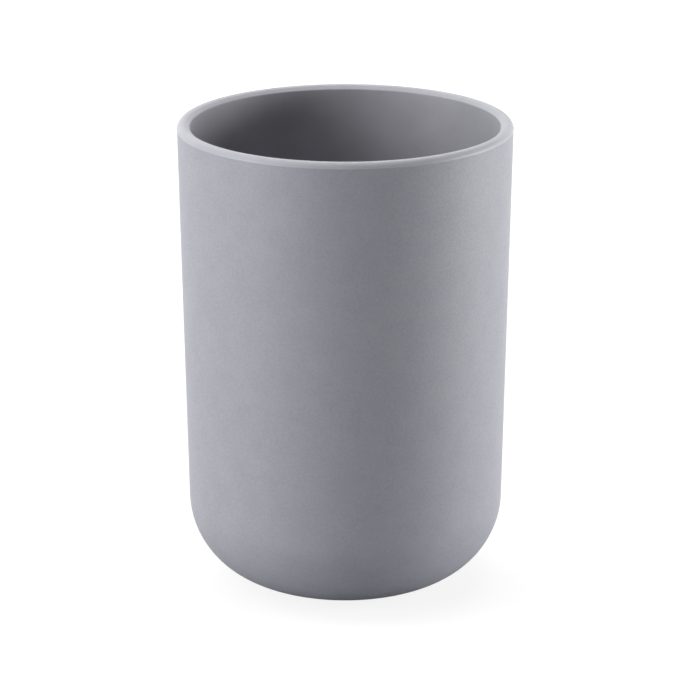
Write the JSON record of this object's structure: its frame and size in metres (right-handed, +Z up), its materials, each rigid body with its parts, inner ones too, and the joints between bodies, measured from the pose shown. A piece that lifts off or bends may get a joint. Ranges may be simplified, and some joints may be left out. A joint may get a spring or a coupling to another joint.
{
  "type": "bathroom tumbler",
  "caption": "Plain round bathroom tumbler with a drafted wall, deeply rounded base and full-round lip, standing on a soft non-slip ring let into its underside.",
  "frame": {"origin": "middle of the surface that the tumbler stands on, on its axis", "axes": "+Z up along the tumbler's axis, towards its mouth; X and Y are any two directions square to it, because it is round"},
  "size_m": [0.07, 0.07, 0.1],
  "materials": {
    "cup_plastic": "fine matte grain outside, smoother satin on the lip and inside",
    "foot_rubber": "matt soft rubber"
  },
  "bodies": {
    "root": {"tumbler_body": "cup_plastic", "foot_ring": "foot_rubber"}
  },
  "joints": []
}
